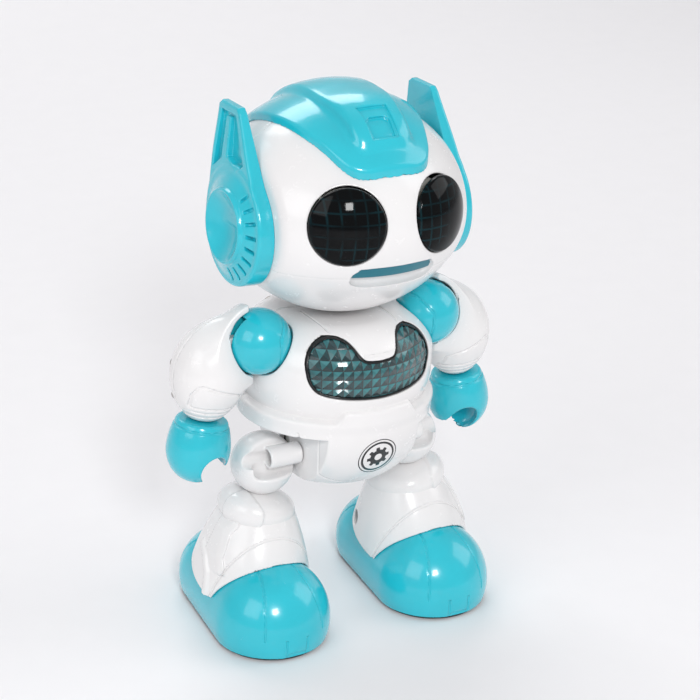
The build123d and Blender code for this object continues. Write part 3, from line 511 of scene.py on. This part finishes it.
def arm(p):
    a = in_arm(p)
    q = p - np.array(BALL)
    egg = smax(oval(a, 14.2, 20.0, 22.0), -17.5 - a[:, 2], 0.8)
    hood = smax(smax(length(*q.T) - 15.2, -1.0 - q[:, 1], 1.0), q[:, 0] + 4.0, 1.0)
    form = smin(egg, hood, 7.0)
    skin = smax(form, BALL_CLEARANCE - length(*q.T), 0.6)
    d = smax(skin, -(form + WALL), 0.3)
    d = smax(d, BALL_CLEARANCE - length(*q.T), 0.4)
    d = groove(d, skin, a[:, 2] + 14.8, 0.42)
    d = groove(d, skin, a[:, 2] + 12.6, 0.36)
    front = np.where(a[:, 1] < 0, 0.0, 9.0)
    panel = polygon(a[:, 0], a[:, 2], [(-9.6, -9.6), (-10.2, -5.2), (-9.0, -2.2), (-7.4, -1.2),
                                       (6.4, -4.6), (9.0, -5.8), (10.2, -10.6), (-8.8, -10.6)])
    d = groove(d, skin, np.abs(panel) + front, 0.42)
    d = groove(d, skin, a[:, 1] + np.where(length(*q.T) > 13.6, 0.0, 9.0), 0.36)
    d = cut(d, rod(a, 2, (0, 0), 3.1, -30, -10), 0.2)
    tongue = slab(q, (-14.2, -1.8, -3.4), (0, 1.8, 3.4), 0.2)
    tongue = smin(rod(q, 1, (0, 0), 3.4, -1.8, 1.8, 0.2), tongue, 0.2)
    d = smin(d, cut(tongue, rod(q, 1, (0, 0), 1.57, -9, 9), 0.2), 0.3)
    for x0, z0 in ((-10.6, 2.0), (-8.4, -10.0)):
        d = smin(d, smax(rod(a, 1, (x0, z0), POST_RADIUS, -6, 12), skin, 0.3), 0.3)
        d = cut(d, rod(a, 1, (x0, z0), SCREW_BORE, 5.0, 30), 0.3)
    return d


def hand(p):
    a = in_arm(p)
    x, y, z = a.T
    b = a - np.array([0, 0, -29.9])
    cup = np.where(b[:, 2] > 0, oval(b, 12.0, 20.0, 28.0), oval(b, 12.0, 12.9, 14.0))
    skin = smax(cup, z + 18.1, 0.9)
    d = skin
    u, w = x - 3.0, z + 34.9
    palm = length(u, w) - 5.2
    along, across = (u - w) * 0.70711, (u + w) * 0.70711
    mouth = smax(np.abs(across) - 3.0 - 0.12 * np.maximum(along - 5.0, 0.0), -along, 0.2)
    d = smax(d, -smin(palm, mouth, 0.8), 1.2)
    d = cut(d, length(x - 1.5, y * 0.86, z + 33.4) - 8.8, 1.0)
    d = groove(d, skin, z + 20.4, 0.4)
    d = smin(d, rod(a, 2, (0, 0), 3.0, -21, -14), 0.3)
    return smin(d, rod(a, 2, (0, 0), 5.0, -15.0, -13.5, 0.3), 0.2)


# ---- legs and feet ------------------------------------------------------------------------------
def thigh(p):
    q = p - np.array([-31.0, -3.0, 63.5])
    d = smax(length(*q.T) - 12.0, p[:, 0] + 19.5, 0.6)
    d = cut(d, slab(p, (-38.5, -30, 61.5), (-10, -7.6, 90), 3.0), 1.2)
    web = slab(p, (-30, HIP_Y, HIP_Z - 3.6), (-19.5, -3, HIP_Z + 1.0), 0.8)
    d = smin(d, web, 1.0)
    d = smin(d, rod(p, 0, (HIP_Y, HIP_Z), 4.2, -32.4, -19.5, 0.6), 0.7)
    d = cut(d, rod(p, 0, (HIP_Y, HIP_Z), 3.1, -60, -28.4, 0.3), 0.3)
    d = cut(d, rod(p, 0, (HIP_Y, HIP_Z), 2.3, -60, 0, 0.3), 0.2)
    return cut(d, slab(p, (-24, -4.3, 61.2), (0, 8.3, 73.8), 0.4), 0.4)


def shin(p):
    q = turn(p - np.array([-32.5, -1.5, 45.0]), 14.0, "Y")
    skin = oval(q, 15.0, 8.0, 6.0)
    pad = polygon(q[:, 0], q[:, 2], [(-20, -8), (-20, 9), (-8.4, 9), (-4.4, 3), (-4.4, -8)])
    return skin - raised(smax(pad, q[:, 1] + 2, 1.0), 0.7, 0.6)


def boot_form(p):
    """Bell whose oval sections shift and widen towards the ground."""
    z = np.clip(p[:, 2], BOOT_FLOOR, BOOT_TOP)
    t = (z - BOOT_FLOOR) / (BOOT_TOP - BOOT_FLOOR)
    m = 20.0 / (BOOT_TOP - BOOT_FLOOR)
    low = (t - m) * (t - 1) / m
    mid = t * (t - 1) / (m * (m - 1))
    high = t * (t - m) / (1 - m)
    cx = low * FOOT_X + mid * FOOT_X + high * -32.5
    cy = low * 0.0 + mid * -2.0 + high * -1.5
    a = low * 23.5 + mid * 21.5 + high * BOOT_TOP_RADIUS
    b = low * 27.0 + mid * 24.0 + high * BOOT_TOP_RADIUS
    u, v = (p[:, 0] - cx) / a, (p[:, 1] - cy) / b
    k = length(u, v)
    slope = length(u / a, v / b) / np.maximum(k, 1e-3)
    ends = np.maximum(p[:, 2] - BOOT_TOP, BOOT_FLOOR - p[:, 2])
    return smax((k - 1) / np.maximum(slope, 1e-3) * 0.93, ends, 1.2)


def foot_form(p):
    """Toe ball and heel ball joined by a tapering barrel."""
    q = p - np.array([FOOT_X, TOE_Y, 8.0])
    span, r1, r2 = FOOT_SPAN, TOE_RADIUS, HEEL_RADIUS
    b = (r1 - r2) / span
    a = math.sqrt(1 - b * b)
    x, y = length(q[:, 0], q[:, 2]), q[:, 1]
    k = -x * b + y * a
    barrel = x * a + y * b - r1
    return np.where(k < 0, length(x, y) - r1, np.where(k > a * span, length(x, y - span) - r2, barrel))


def boot(p):
    x, y, z = p.T
    skin = boot_form(p)
    side = x - FOOT_X
    across, outer = np.abs(side), np.where(side < 0, 0.0, 9.0)
    bar = path(x, z, [(-45.5, 44.0), (-48.6, 41.0), (-52.6, 32.5), (-53.4, 27.0)])
    bar = bar + np.where(y < -2, 0.0, 9.0)
    crescent = path(y, z, [(1.5, 33.0), (-3.5, 30.0), (-7.4, 25.0), (-8.8, 19.5), (-8.4, 17.0)]) + outer
    skin = skin - 0.85 * step(-bar, -1.6, -0.5) - 0.85 * step(-crescent, -1.7, -0.6)
    d = smax(skin, -(skin + WALL), 0.3)
    d = cut(d, foot_form(p) - 0.2, 0.3)
    d = cut(d, length(y + BOOT_ARCH_Y, z) - BOOT_ARCH_RADIUS, 0.7)
    d = cut(d, smax((z - 14.5 - 0.344 * (y + 14.0)) * 0.945, -14.0 - y, 0.3), 0.8)
    reach = 45.5 - 9.5 * (across / 20.5) ** 2
    band = np.abs(length(y + BOOT_ARCH_Y, z) - reach) + np.where(y < -8, 0.0, 9.0)
    d = groove(d, skin, band, 0.5)
    return cut(d, rod(p, 0, (6.0, 26.0), 2.9, FOOT_X + 10, 0), 0.3)


def shoe(p):
    x, y, z = p.T
    skin = smax(foot_form(p), 0.5 - z, 0.5)
    d = smax(skin, -(foot_form(p) + WALL - 0.6 * step(-z, -4.0, -2.6)), 0.3)
    top = np.where(z > 9, 0.0, 9.0) + np.where(y < -14, 0.0, 9.0)
    for side in (-1, 1):
        line = (x - FOOT_X) * side - 6.5 - 0.010 * (y + 16) ** 2
        d = groove(d, skin, line + top, 0.38)
    notch = slab(p, (-38.0, -60, 0), (-32.0, -41.2, 3.2), 0.6)
    d = cut(d, notch, 0.5)
    for y0 in (-24, 26):
        d = smin(d, smax(rod(p, 2, (FOOT_X, y0), POST_RADIUS, 3.1, 40), skin + 0.4, 0.3), 0.3)
    return d


# ---- materials ----------------------------------------------------------------------------------
class Nodes:
    """Short way to write a node tree around one shader."""

    def __init__(self, name):
        self.material = bpy.data.materials.new(name)
        self.material.use_nodes = True
        self.tree = self.material.node_tree
        self.shader = self.tree.nodes["Principled BSDF"]
        self.place = self.tree.nodes.new("ShaderNodeTexCoord").outputs["Object"]

    def put(self, socket, value):
        if hasattr(value, "is_output"):
            self.tree.links.new(value, socket)
        else:
            socket.default_value = value

    def noise(self, size, detail):
        """Noise with features of about this many millimetres."""
        node = self.tree.nodes.new("ShaderNodeTexNoise")
        node.inputs["Scale"].default_value = 1000.0 / size
        node.inputs["Detail"].default_value = detail
        self.put(node.inputs["Vector"], self.place)
        return node.outputs["Fac"]

    def math(self, kind, a, b=0.0):
        node = self.tree.nodes.new("ShaderNodeMath")
        node.operation = kind
        for socket, value in zip(node.inputs, (a, b)):
            self.put(socket, value)
        return node.outputs[0]

    def span(self, value, low, high, out_low, out_high):
        node = self.tree.nodes.new("ShaderNodeMapRange")
        for key, given in zip(("Value", "From Min", "From Max", "To Min", "To Max"),
                              (value, low, high, out_low, out_high)):
            self.put(node.inputs[key], given)
        return node.outputs[0]

    def mix(self, factor, a, b):
        node = self.tree.nodes.new("ShaderNodeMix")
        node.data_type = "RGBA"
        self.put(node.inputs[0], factor)
        self.put(node.inputs[6], a)
        self.put(node.inputs[7], b)
        return node.outputs[2]

    def split(self):
        """The three coordinates in millimetres."""
        node = self.tree.nodes.new("ShaderNodeSeparateXYZ")
        self.put(node.inputs[0], self.place)
        return [self.math("MULTIPLY", out, 1000.0) for out in node.outputs]

    def bump(self, height, distance):
        """Relief of this many millimetres."""
        node = self.tree.nodes.new("ShaderNodeBump")
        node.inputs["Distance"].default_value = distance * 0.001
        node.inputs["Strength"].default_value = 1.0
        self.put(node.inputs["Height"], height)
        self.put(self.shader.inputs["Normal"], node.outputs[0])

    def set(self, **values):
        for key, value in values.items():
            self.put(self.shader.inputs[key.replace("_", " ")], value)


def shade(colour, factor):
    return tuple(c * factor for c in colour[:3]) + (1.0,)


def plastic(name, colour, rough, grain=0.3, bump=0.01, blotch=0.05, sheen=0.0):
    """Moulded plastic: faint colour drift, a polished or grained skin and fine handling marks."""
    n = Nodes(name)
    drift = n.noise(16.0, 3.0)
    colour_now = n.mix(n.span(drift, 0.3, 0.7, 0.0, 1.0), shade(colour, 1 - blotch), shade(colour, 1.0))
    marks = n.noise(0.9, 4.0)
    wear = n.span(n.noise(5.0, 5.0), 0.45, 0.75, 0.0, 0.06)
    n.set(Base_Color=colour_now)
    n.set(Roughness=n.math("ADD", n.math("ADD", rough, wear), n.span(marks, 0.3, 0.7, -0.02, 0.03)))
    n.set(IOR=1.5)
    if sheen:
        n.set(Coat_Weight=sheen, Coat_Roughness=0.06)
    waves = n.math("ADD", n.noise(grain, 3.0), n.math("MULTIPLY", n.noise(6.0, 1.0), 2.0))
    n.bump(waves, bump)
    return n


def metal(name, colour, rough):
    """Turned or drawn metal with fine scratches."""
    n = Nodes(name)
    fine = n.noise(0.25, 6.0)
    n.set(Metallic=1.0, Base_Color=n.mix(fine, shade(colour, 0.8), shade(colour, 1.05)))
    n.set(Roughness=n.span(fine, 0.3, 0.7, rough - 0.07, rough + 0.1))
    n.bump(fine, 0.01)
    return n


WHITE = (0.83, 0.82, 0.82)
TEAL = (0.018, 0.54, 0.66)
white = plastic("white gloss plastic", WHITE, 0.22, sheen=0.25, blotch=0.02, bump=0.003)
teal = plastic("teal gloss plastic", TEAL, 0.2, sheen=0.5, blotch=0.08, bump=0.004)
# painted shade: a darkened teal for the bar seen in the recess behind the mouth slot
slot_shade_teal = plastic("teal plastic with painted slot shade", (0.006, 0.17, 0.23), 0.35, blotch=0.1, bump=0.004)
dark = plastic("dark matt plastic", (0.012, 0.012, 0.014), 0.5, grain=0.5, bump=0.03)
dark_gloss = plastic("black gloss plastic", (0.006, 0.007, 0.008), 0.15, bump=0.004)
pale = plastic("pale matt plastic", (0.62, 0.62, 0.58), 0.45, grain=0.5, bump=0.03)
board = plastic("green circuit board", (0.02, 0.12, 0.05), 0.35, grain=0.8, bump=0.03, blotch=0.2)
foil = plastic("cell sleeve", (0.45, 0.33, 0.05), 0.3, grain=0.6, bump=0.02, blotch=0.15)
rubber = plastic("roller rubber", (0.02, 0.02, 0.02), 0.7, grain=0.3, bump=0.05)
steel = metal("screw steel", (0.38, 0.36, 0.34), 0.32)
brass = metal("brass", (0.72, 0.52, 0.2), 0.3)


def eye_glass():
    """Near-black lens with a faint teal grid deep under its polish."""
    n = plastic("smoked eye lens", (0.004, 0.005, 0.006), 0.04, bump=0.002)
    n.set(IOR=1.33)
    x, _, z = n.split()
    line = n.math("MINIMUM", n.math("PINGPONG", n.math("ADD", x, 60.0), 2.1), n.math("PINGPONG", z, 2.1))
    glow = n.span(line, 0.1, 0.5, 1.0, 0.0)
    fade = n.span(n.noise(12.0, 1.0), 0.4, 0.65, 0.1, 1.0)
    lit = n.math("MULTIPLY", glow, fade)
    n.set(Base_Color=n.mix(lit, (0.001, 0.0015, 0.002, 1), (0.003, 0.022, 0.028, 1)))
    n.set(Specular_IOR_Level=0.3)
    return n


def window_glass():
    """Smoked teal window moulded in small pyramids, with painted light on the flanks facing up and left,
    and painted shade on the flanks facing down and right and in the valleys between the pyramids.
    """
    n = plastic("smoked chest window", (0.004, 0.05, 0.06), 0.09, sheen=0.8, bump=0.002)
    x, _, z = n.split()
    u = n.span(n.math("FRACT", n.math("MULTIPLY", n.math("ADD", x, 61.7), 1 / FACET)), 0.0, 1.0, -1.0, 1.0)
    v = n.span(n.math("FRACT", n.math("MULTIPLY", z, 1 / FACET)), 0.0, 1.0, -1.0, 1.0)
    wide, tall = n.math("ABSOLUTE", u), n.math("ABSOLUTE", v)
    sideways = n.math("GREATER_THAN", wide, tall)
    # painted light: flanks facing left are lighter (0.75), flanks facing right are darker (0.15)
    left = n.span(n.math("LESS_THAN", u, 0.0), 0.0, 1.0, 0.15, 0.75)
    # painted light: flanks facing up are lit (1.0), flanks facing down are shaded (0.05)
    top_flank_lit = n.span(n.math("GREATER_THAN", v, 0.0), 0.0, 1.0, 0.05, 1.0)
    painted_facet_light = n.math("ADD", n.math("MULTIPLY", sideways, left),
                  n.math("MULTIPLY", n.math("SUBTRACT", 1.0, sideways), top_flank_lit))
    height = n.math("SUBTRACT", 1.0, n.math("MAXIMUM", wide, tall))
    # painted shade: the valleys between the pyramids are darkened to near black
    edge = n.span(height, 0.0, 0.14, 1.0, 0.0)
    # the painted facet light is varied at random from pyramid to pyramid
    painted_facet_light = n.math("MULTIPLY", painted_facet_light, n.span(n.noise(9.0, 2.0), 0.35, 0.65, 0.45, 1.0))
    # painted light and shade: facet colour runs from dark to light teal with the painted facet light
    lit_facet_colour = n.mix(painted_facet_light, (0.002, 0.02, 0.025, 1), (0.05, 0.25, 0.27, 1))
    n.set(Base_Color=n.mix(edge, lit_facet_colour, (0.002, 0.014, 0.018, 1)))
    n.bump(height, 0.8)
    return n


def printed_white():
    """White plastic with a printed badge on the belly: a cog inside two thin rings."""
    n = plastic("white gloss plastic with badge", WHITE, 0.22, sheen=0.25, blotch=0.02, bump=0.003)
    x, y, z = n.split()
    z = n.math("SUBTRACT", z, BADGE_Z)
    r = n.math("SQRT", n.math("ADD", n.math("MULTIPLY", x, x), n.math("MULTIPLY", z, z)))
    angle = n.math("ARCTAN2", z, x)
    teeth = n.math("SINE", n.math("MULTIPLY", angle, 8.0))
    rim = n.math("ADD", 3.9, n.span(teeth, -0.35, 0.35, -0.55, 0.55))
    cog = n.math("MULTIPLY", n.math("LESS_THAN", r, rim), n.math("GREATER_THAN", r, 1.5))
    ring = n.math("LESS_THAN", n.math("ABSOLUTE", n.math("SUBTRACT", r, 6.3)), 0.42)
    outer = n.math("LESS_THAN", n.math("ABSOLUTE", n.math("SUBTRACT", r, 7.6)), 0.2)
    ink = n.math("MAXIMUM", cog, n.math("MAXIMUM", ring, outer))
    ink = n.math("MULTIPLY", ink, n.math("LESS_THAN", y, 0.0))
    plain = n.shader.inputs["Base Color"].links[0].from_socket
    n.set(Base_Color=n.mix(ink, plain, (0.012, 0.013, 0.016, 1)))
    return n


# ---- pieces ---------------------------------------------------------------------------------------
def both(name, shape, low, high, body, material, nodes, cell=None, keep=0.35):
    """A piece on the right side and its mirror image on the left."""
    made = sculpt(name, shape, low, high, cell, keep)
    for side in ("right", "left"):
        replaced = [f"{node}_{side}" for node in nodes]
        piece(f"{name} {side}", made, body.replace("SIDE", side), material, replaced, side == "left")


def one(name, shape, low, high, body, material, nodes, cell=None, keep=0.35):
    piece(name, sculpt(name, shape, low, high, cell, keep), body, material, nodes)


fine = CELL * 0.8
one("head", head, (-39, -49, 120), (39, 49, 203), "head", white.material,
    ["head_front_shell", "head_rear_shell"], keep=0.22)
one("crest", crest, (-30, -42, 176), (30, 46, 207), "head", teal.material, ["crest_cap"])
both("ear", ear, (-49, -26, 134), (-37, 22, 203), "head", teal.material, ["ear"], fine, 0.4)
both("eye", eye, (-36, -50, 150), (-4, -28, 184), "head", eye_glass().material, [], fine, 0.3)
one("torso", torso, (-38, -39, 56), (38, 38, 122), "torso", printed_white().material,
    ["torso_front_shell", "torso_rear_shell"], keep=0.3)
one("chest window", window_lens, (-27, -39, 95), (27, -10, 121), "torso", window_glass().material,
    ["chest_lens"], fine, 0.3)
one("window border", window_border, (-27, -39, 95), (27, -10, 121), "torso", dark_gloss.material,
    [], fine, 0.3)
both("shoulder ball", ball, (-49, -21, 102), (-18, 6, 128), "shoulder_SIDE_body", teal.material,
     ["shoulder"], None, 0.3)
both("arm", arm, (-69, -16, 82), (-36, 16, 132), "arm_SIDE_body", white.material,
     ["arm_front", "arm_rear"], None, 0.3)
both("hand", hand, (-68, -14, 56), (-40, 13, 94), "hand_SIDE_body", teal.material, ["hand"])
both("thigh", thigh, (-44, -16, 50), (-19, 10, 77), "leg_SIDE_body", white.material, ["thigh"])
both("shin", shin, (-49, -18, 34), (-16, 15, 56), "leg_SIDE_body", white.material, ["shin"])
both("boot", boot, (-61, -30, 3), (-9, 29, 47), "leg_SIDE_body", white.material, ["boot"], None, 0.3)
both("shoe", shoe, (-59, -44, 2), (-11, 39, 32), "leg_SIDE_body", teal.material, ["shoe"], None, 0.3)
for side in ("right", "left"):
    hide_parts(f"eye_lens_{side}")

finish_of = {"white": white, "teal": teal, "lens_black": dark, "lens_teal": teal, "dark_plastic": dark,
             "light_plastic": pale, "green_board": board, "cell_foil": foil, "steel": steel,
             "brass_gear": brass, "rubber_roller": rubber}
for part in frame["record"]["subparts"]:
    node = frame["nodes"][part["node"]]
    node.data.materials.clear()
    node.data.materials.append(finish_of[part["material_slot"]].material)
# painted shade: the bar behind the mouth slot is made a darker teal than the crest and ears, for the shade
# in the slot
frame["nodes"]["mouth_insert"].data.materials[0] = slot_shade_teal.material


# ---- floor, light and camera ------------------------------------------------------------------------
def floor():
    """Seamless pale ground that curves up far behind the robot."""
    rows = [(-6.0, 0.0), (0.7, 0.0)]
    rows += [(0.7 + 1.2 * math.sin(t), 1.2 - 1.2 * math.cos(t)) for t in np.linspace(0.1, math.pi / 2, 12)]
    rows.append((1.9, 6.0))
    points = np.array([(x, y, z) for y, z in rows for x in (-6.0, 6.0)]) * 1000
    faces = np.array([(2 * i, 2 * i + 1, 2 * i + 3, 2 * i + 2) for i in range(len(rows) - 1)])
    obj = bpy.data.objects.new("floor", mesh_from("floor", points, faces))
    bpy.context.scene.collection.objects.link(obj)
    n = plastic("floor", (0.86, 0.855, 0.87), 0.6, grain=2.0, bump=0.01, blotch=0.01)
    obj.data.materials.append(n.material)
    return obj


def lamp(name, place, target, size, power):
    data = bpy.data.lights.new(name, "AREA")
    data.shape, data.size, data.size_y, data.energy = "RECTANGLE", size[0], size[1], power
    obj = bpy.data.objects.new(name, data)
    bpy.context.scene.collection.objects.link(obj)
    obj.location = place
    obj.rotation_mode = "QUATERNION"
    obj.rotation_quaternion = (Vector(target) - Vector(place)).to_track_quat("-Z", "Y")
    return obj


middle = Vector((0.0, 0.0, 0.1))
floor()
lamp("key", (-0.36, -1.1, 0.78), middle, (0.24, 0.24), 7.0)
lamp("left", (-1.3, -0.5, 0.9), middle, (0.9, 0.9), 4.5)
lamp("right", (1.2, -0.4, 0.9), middle, (0.9, 0.9), 4.0)
lamp("back", (0.2, 1.1, 1.3), middle, (1.2, 0.6), 9.0)
world = bpy.data.worlds.new("studio")
world.use_nodes = True
world.node_tree.nodes["Background"].inputs[0].default_value = (1.0, 0.99, 1.0, 1.0)
world.node_tree.nodes["Background"].inputs[1].default_value = 0.50
scene = bpy.context.scene
scene.world = world
scene.view_settings.view_transform = "Standard"

azimuth, elevation, roll = (math.radians(value) for value in (-29.5, 22.3, 1.8))
back = Vector((math.sin(azimuth) * math.cos(elevation), -math.cos(azimuth) * math.cos(elevation),
               math.sin(elevation)))
right = Vector((math.cos(azimuth), math.sin(azimuth), 0.0))
up = back.cross(right)
turned = (math.cos(roll) * right + math.sin(roll) * up,
          math.cos(roll) * up - math.sin(roll) * right, back)
lens = bpy.data.cameras.new("camera")
lens.sensor_width, lens.lens = 36.0, 36.0 * 2000.0 / 700.0
lens.clip_start, lens.clip_end = 0.01, 50.0
camera = bpy.data.objects.new("camera", lens)
scene.collection.objects.link(camera)
camera.matrix_world = Matrix.Translation((-0.3369, -0.6079, 0.3877)) @ Matrix(turned).transposed().to_4x4()
scene.camera = camera
